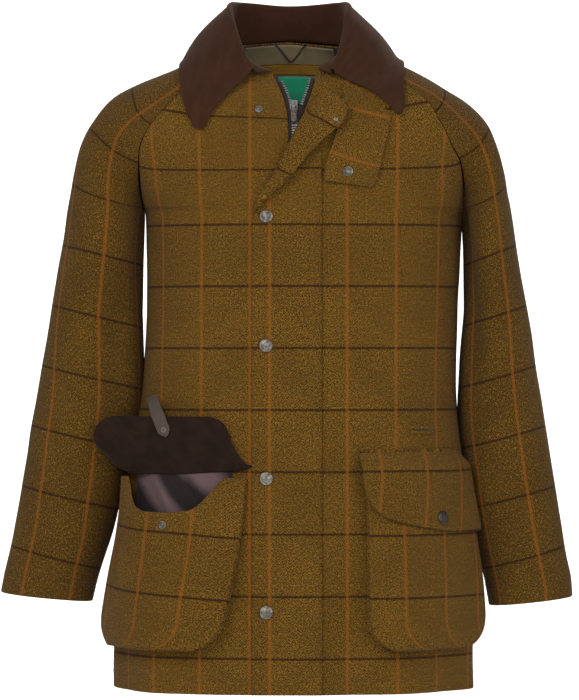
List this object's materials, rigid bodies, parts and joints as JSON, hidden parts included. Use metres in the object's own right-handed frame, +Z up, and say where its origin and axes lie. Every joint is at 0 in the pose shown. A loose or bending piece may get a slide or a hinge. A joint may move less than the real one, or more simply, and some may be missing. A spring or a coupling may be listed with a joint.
{
  "type": "shooting coat",
  "caption": "Tweed shooting coat with raglan sleeves, moleskin collar, storm flap over a zip and bellows pockets, filled out as worn",
  "frame": {"origin": "between the shoulders, level with the sides of the neck", "axes": "+Z up from the hem to the collar; -Y is the front of the coat; +X is the wearer's left"},
  "size_m": [0.6865, 0.3287, 0.8231],
  "materials": {
    "tweed": "matte",
    "moleskin": "matte",
    "satin": "satin",
    "khaki_lining": "matte",
    "label_cloth": "satin",
    "zip_tape": "matte",
    "metal": "brushed"
  },
  "bodies": {
    "coat": {"front_right": "tweed", "front_left": "tweed", "back": "tweed", "sleeve_right_front": "tweed", "sleeve_right_back": "tweed", "sleeve_left_front": "tweed", "sleeve_left_back": "tweed", "storm_flap": "tweed", "throat_tab": "tweed", "pocket_right": "tweed", "pocket_right_gusset": "tweed", "pocket_left": "tweed", "pocket_left_gusset": "tweed", "flap_left": "tweed", "flap_right": "tweed", "hold_strap": "tweed", "slit_left": "tweed", "neck_facing": "tweed", "collar": "moleskin", "flap_right_lining": "moleskin", "hanger_loop": "moleskin", "pocket_right_lining": "satin", "back_lining": "satin", "neck_lining": "khaki_lining", "label": "label_cloth", "zip_tape_right": "zip_tape", "zip_tape_left": "zip_tape", "zip_slider": "metal", "snap_1": "metal", "snap_2": "metal", "snap_3": "metal", "snap_4": "metal", "snap_tab": "metal", "stud_front": "metal", "socket_flap": "metal", "stud_pocket": "metal", "snap_pocket": "metal"},
    "pull": {"zip_pull": "metal"}
  },
  "joints": [
    {"name": "zip_pull_swing", "type": "hinge", "parent": "coat", "child": "pull", "pos_m": [0.00499, -0.0976, -0.05829], "axis": [-1, 0, 0], "range_deg": [0, 130]}
  ]
}
